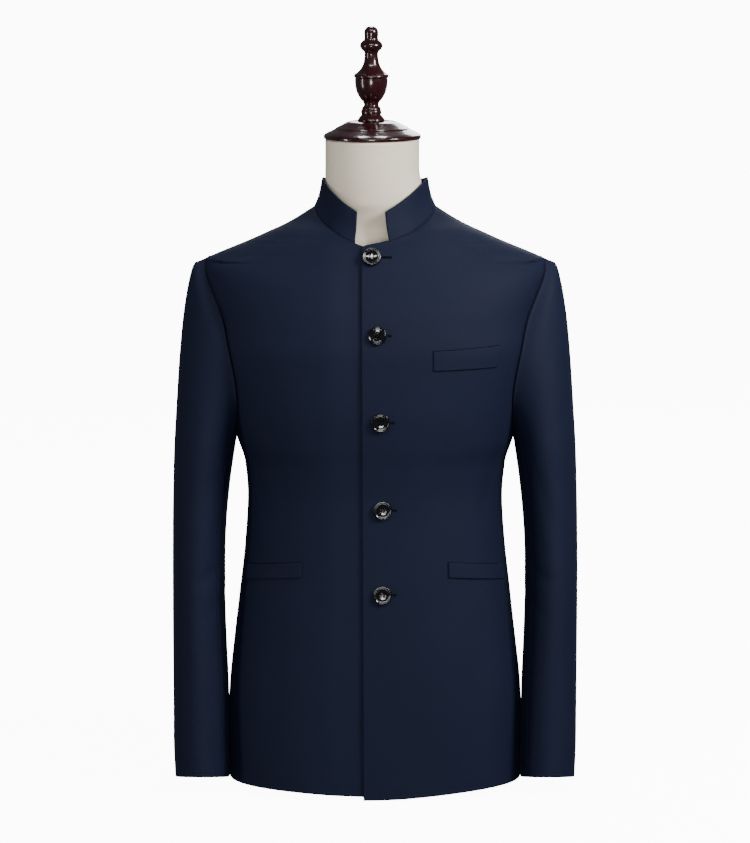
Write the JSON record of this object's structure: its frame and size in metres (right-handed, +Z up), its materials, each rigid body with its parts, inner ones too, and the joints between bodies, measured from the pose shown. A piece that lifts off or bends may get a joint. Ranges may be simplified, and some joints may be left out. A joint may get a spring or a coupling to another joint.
{
  "type": "mao suit jacket on a limbless dress form",
  "caption": "Navy stand-collar suit jacket with a buttoned front and welt pockets, hanging on a linen dress form with a turned wooden neck cap and finial.",
  "frame": {"origin": "centre of the whole part's box at the underside of the base", "axes": "+Z up, the front of the jacket faces -Y, +X is the wearer's left"},
  "size_m": [0.4948, 0.26, 0.9295],
  "materials": {
    "wool": "smooth worsted twill, matt with a faint sheen",
    "linen": "plain woven linen, matt",
    "cherry_wood": "dark red stain under gloss lacquer",
    "horn": "polished black"
  },
  "bodies": {
    "root": {"front_left": "wool", "front_right": "wool", "back_left": "wool", "back_right": "wool", "sleeve_top_left": "wool", "sleeve_top_right": "wool", "sleeve_under_left": "wool", "sleeve_under_right": "wool", "collar": "wool", "chest_welt": "wool", "hip_welt_left": "wool", "hip_welt_right": "wool", "button_1": "horn", "button_2": "horn", "button_3": "horn", "button_4": "horn", "button_5": "horn", "form_torso": "linen", "neck_cap": "cherry_wood", "finial": "cherry_wood", "form_base": "cherry_wood"}
  },
  "joints": []
}
